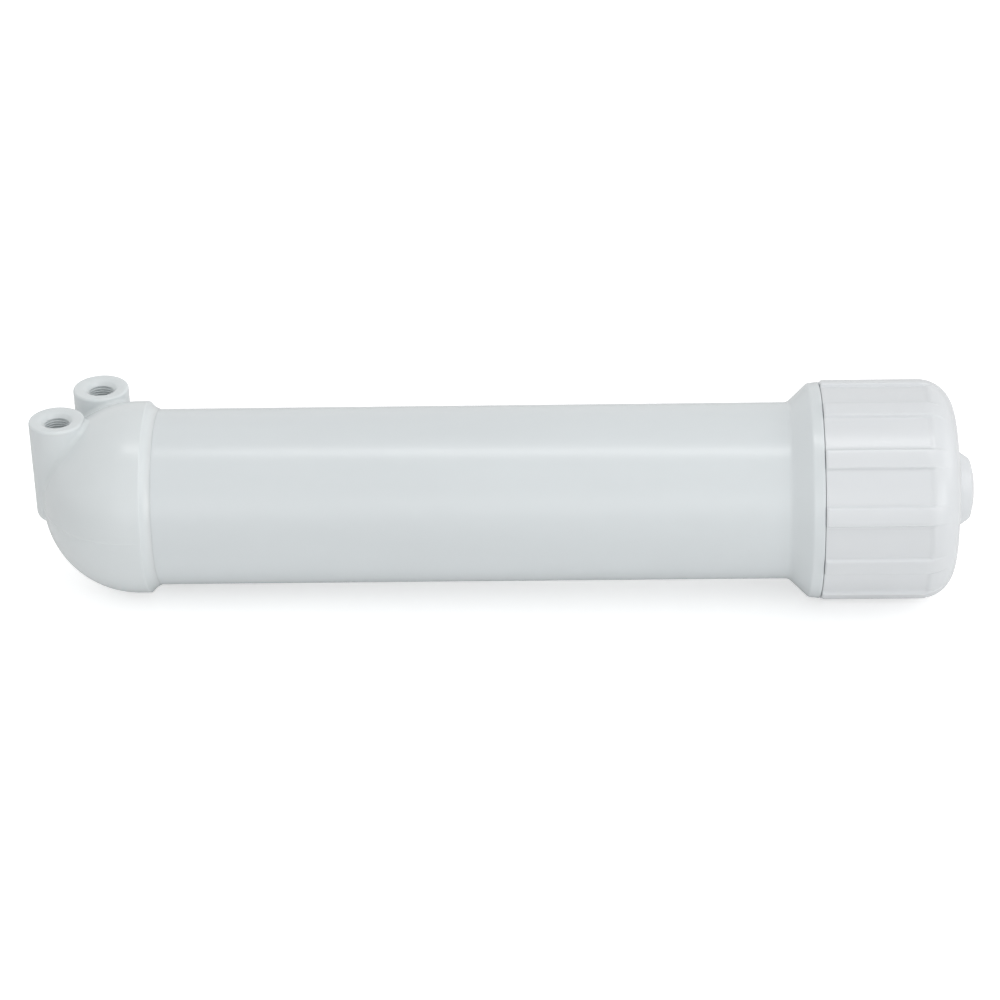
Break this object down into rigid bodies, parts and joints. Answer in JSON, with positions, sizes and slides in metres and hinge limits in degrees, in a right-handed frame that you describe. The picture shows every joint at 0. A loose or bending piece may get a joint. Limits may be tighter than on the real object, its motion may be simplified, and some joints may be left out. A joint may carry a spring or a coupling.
{
  "type": "membrane pressure vessel",
  "caption": "Moulded white tube housing with a domed port head and a ribbed screw cap, holding a spiral-wound membrane element for water filtration.",
  "frame": {"origin": "on the vessel's axis, halfway along the bare tube, where the holding clips go", "axes": "+X along the tube towards the cap and out of the inlet port, +Z out of the two head ports, +Y towards the concentrate port's side"},
  "size_m": [0.3345, 0.0778, 0.0778],
  "materials": {
    "head_white": "satin moulded polypropylene",
    "tube_white": "satin moulded polypropylene",
    "cap_white": "satin moulded polypropylene",
    "seal_rubber": "matte rubber",
    "element_plastic": "moulded plastic",
    "membrane": "wound sheet",
    "tape": "plastic film tape"
  },
  "bodies": {
    "vessel": {"end_head": "head_white", "shell_tube": "tube_white", "permeate_tube": "element_plastic", "membrane_roll": "membrane", "element_wrap": "tape", "seal_carrier": "element_plastic", "brine_seal": "seal_rubber", "permeate_o_ring_inner": "seal_rubber", "permeate_o_ring_outer": "seal_rubber", "tube_plug": "element_plastic"},
    "cap_seal": {"cap_o_ring": "seal_rubber"},
    "cap": {"screw_cap": "cap_white"}
  },
  "joints": [
    {"name": "cap_travel", "type": "slide", "parent": "vessel", "child": "cap_seal", "axis": [1, 0, 0], "range_m": [0, 0.02]},
    {"name": "cap_turn", "type": "hinge", "parent": "cap_seal", "child": "cap", "pos_m": [0.15, 0, 0], "axis": [1, 0, 0], "range_deg": [0, 1440]}
  ],
  "couplings": [
    {"joint": "cap_travel", "follows": "cap_turn", "m_per_rad": 0.00079577}
  ]
}
